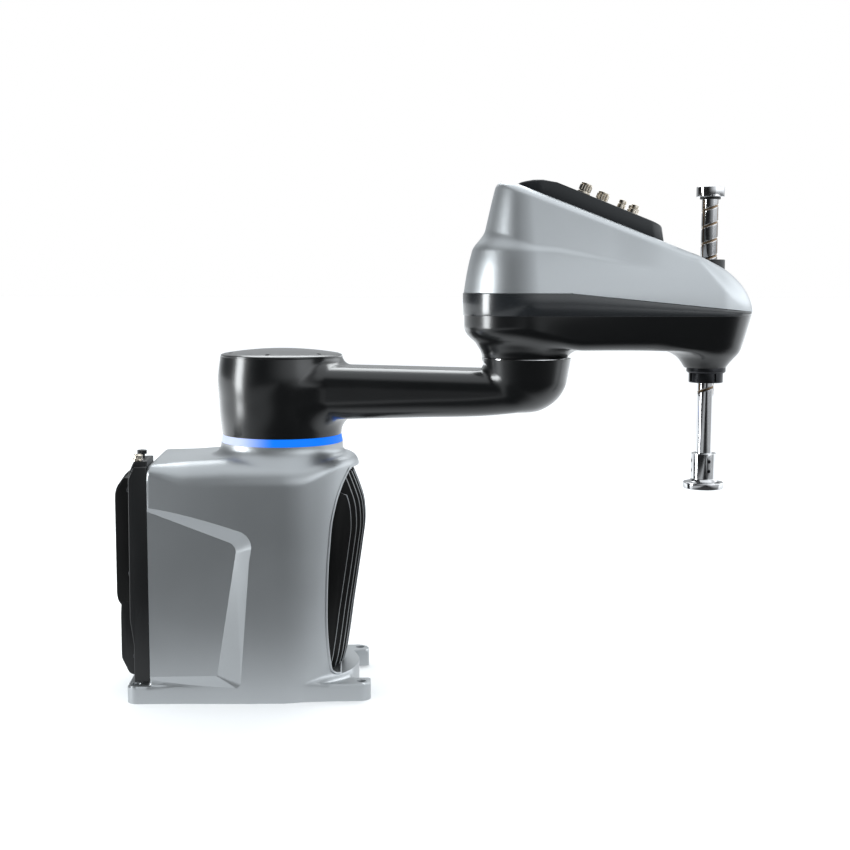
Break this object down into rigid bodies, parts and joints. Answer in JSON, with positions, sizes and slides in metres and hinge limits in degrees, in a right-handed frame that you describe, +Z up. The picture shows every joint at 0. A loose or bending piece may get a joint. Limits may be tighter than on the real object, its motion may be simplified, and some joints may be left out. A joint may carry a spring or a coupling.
{
  "type": "scara robot",
  "caption": "Four-axis SCARA robot arm on a cast base with a lit shoulder ring, two links and a vertical quill that turns and slides, ending in a tool flange.",
  "frame": {"origin": "on the shoulder axis, on the underside of the base", "axes": "+Z up along the shoulder axis, +X towards the front of the base, where the arm reaches"},
  "size_m": [0.7951, 0.3017, 0.65],
  "materials": {
    "silver_paint": "cast aluminium with a metallic silver-grey satin paint",
    "black_paint": "cast aluminium with a charcoal-black gloss paint",
    "black_anodised": "black anodised aluminium, matt",
    "black_plastic": "moulded black plastic, satin",
    "silver_plastic": "moulded plastic with a metallic silver-grey paint",
    "blue_light": "translucent diffuser lit from behind in blue",
    "ground_steel": "hardened and ground bearing steel",
    "dark_steel": "blackened steel",
    "nickel_brass": "nickel-plated brass",
    "circuit_board": "fibreglass board",
    "belt_rubber": "reinforced timing belt",
    "motor_grey": "dark painted motor housing"
  },
  "bodies": {
    "base": {"base_casting": "silver_paint", "front_heat_sink": "black_anodised", "rear_frame": "black_plastic", "rear_heat_sink": "black_anodised", "rear_lower_cover": "black_plastic", "rear_frame_screws": "dark_steel", "encoder_connector": "nickel_brass", "brake_release_knob": "black_plastic", "light_ring": "blue_light", "shoulder_motor": "motor_grey", "shoulder_gear": "ground_steel", "drive_board": "circuit_board", "power_supply": "black_anodised"},
    "inner_link": {"inner_link_casting": "black_paint", "shoulder_output_flange": "ground_steel", "shoulder_cap": "black_paint", "shoulder_cap_screws": "dark_steel", "elbow_gear": "ground_steel"},
    "outer_link": {"outer_link_casting": "black_paint", "cover_band": "black_plastic", "outer_cover": "silver_plastic", "io_panel": "black_plastic", "signal_connectors": "nickel_brass", "air_fittings": "nickel_brass", "elbow_motor": "motor_grey", "motor_bracket": "black_anodised", "z_motor": "motor_grey", "theta_motor": "motor_grey", "z_belt": "belt_rubber", "theta_belt": "belt_rubber", "nut_plate": "black_anodised", "nut_bearing": "ground_steel", "spline_bearing": "ground_steel", "quill_guide": "black_plastic", "nose_flange": "dark_steel", "nose_flange_screws": "dark_steel", "nose_nut": "dark_steel"},
    "z_motor_drive": {"z_motor_pulley": "black_anodised"},
    "theta_motor_drive": {"theta_motor_pulley": "black_anodised"},
    "spline_sleeve": {"spline_nut": "ground_steel", "theta_pulley": "black_anodised"},
    "screw_nut": {"ball_nut": "ground_steel", "z_pulley": "black_anodised"},
    "quill": {"quill_shaft": "ground_steel", "stop_collar": "ground_steel", "stop_bumper": "black_plastic", "user_flange": "ground_steel", "flange_set_screws": "dark_steel"}
  },
  "joints": [
    {"name": "j1_shoulder", "type": "hinge", "parent": "base", "child": "inner_link", "pos_m": [0, 0, 0.327], "axis": [0, 0, 1], "range_deg": [-117.7, 162.2]},
    {"name": "j2_elbow", "type": "hinge", "parent": "inner_link", "child": "outer_link", "pos_m": [0.30078, -0.12311, 0.4375], "axis": [0, 0, 1], "range_deg": [-152.2, 107.7]},
    {"name": "j4_turn", "type": "hinge", "parent": "outer_link", "child": "spline_sleeve", "pos_m": [0.52578, -0.12311, 0.44], "axis": [0, 0, 1], "range_deg": [-360, 360]},
    {"name": "j3_lift", "type": "slide", "parent": "spline_sleeve", "child": "quill", "axis": [0, 0, 1], "range_m": [-0.071, 0.084]},
    {"name": "screw_nut_turn", "type": "hinge", "parent": "spline_sleeve", "child": "screw_nut", "pos_m": [0.52578, -0.12311, 0.49], "axis": [0, 0, 1], "range_deg": [-1530, 1300]},
    {"name": "z_motor_turn", "type": "hinge", "parent": "outer_link", "child": "z_motor_drive", "pos_m": [0.37878, -0.12311, 0.477], "axis": [0, 0, 1], "range_deg": [-3300, 2800]},
    {"name": "theta_motor_turn", "type": "hinge", "parent": "outer_link", "child": "theta_motor_drive", "pos_m": [0.43278, -0.12311, 0.4625], "axis": [0, 0, 1], "range_deg": [-790, 790]}
  ],
  "couplings": [
    {"joint": "screw_nut_turn", "follows": "j3_lift", "rad_per_m": -314.16},
    {"joint": "z_motor_turn", "follows": "j3_lift", "rad_per_m": -680.68},
    {"joint": "theta_motor_turn", "follows": "j4_turn", "ratio": 2.1667}
  ]
}
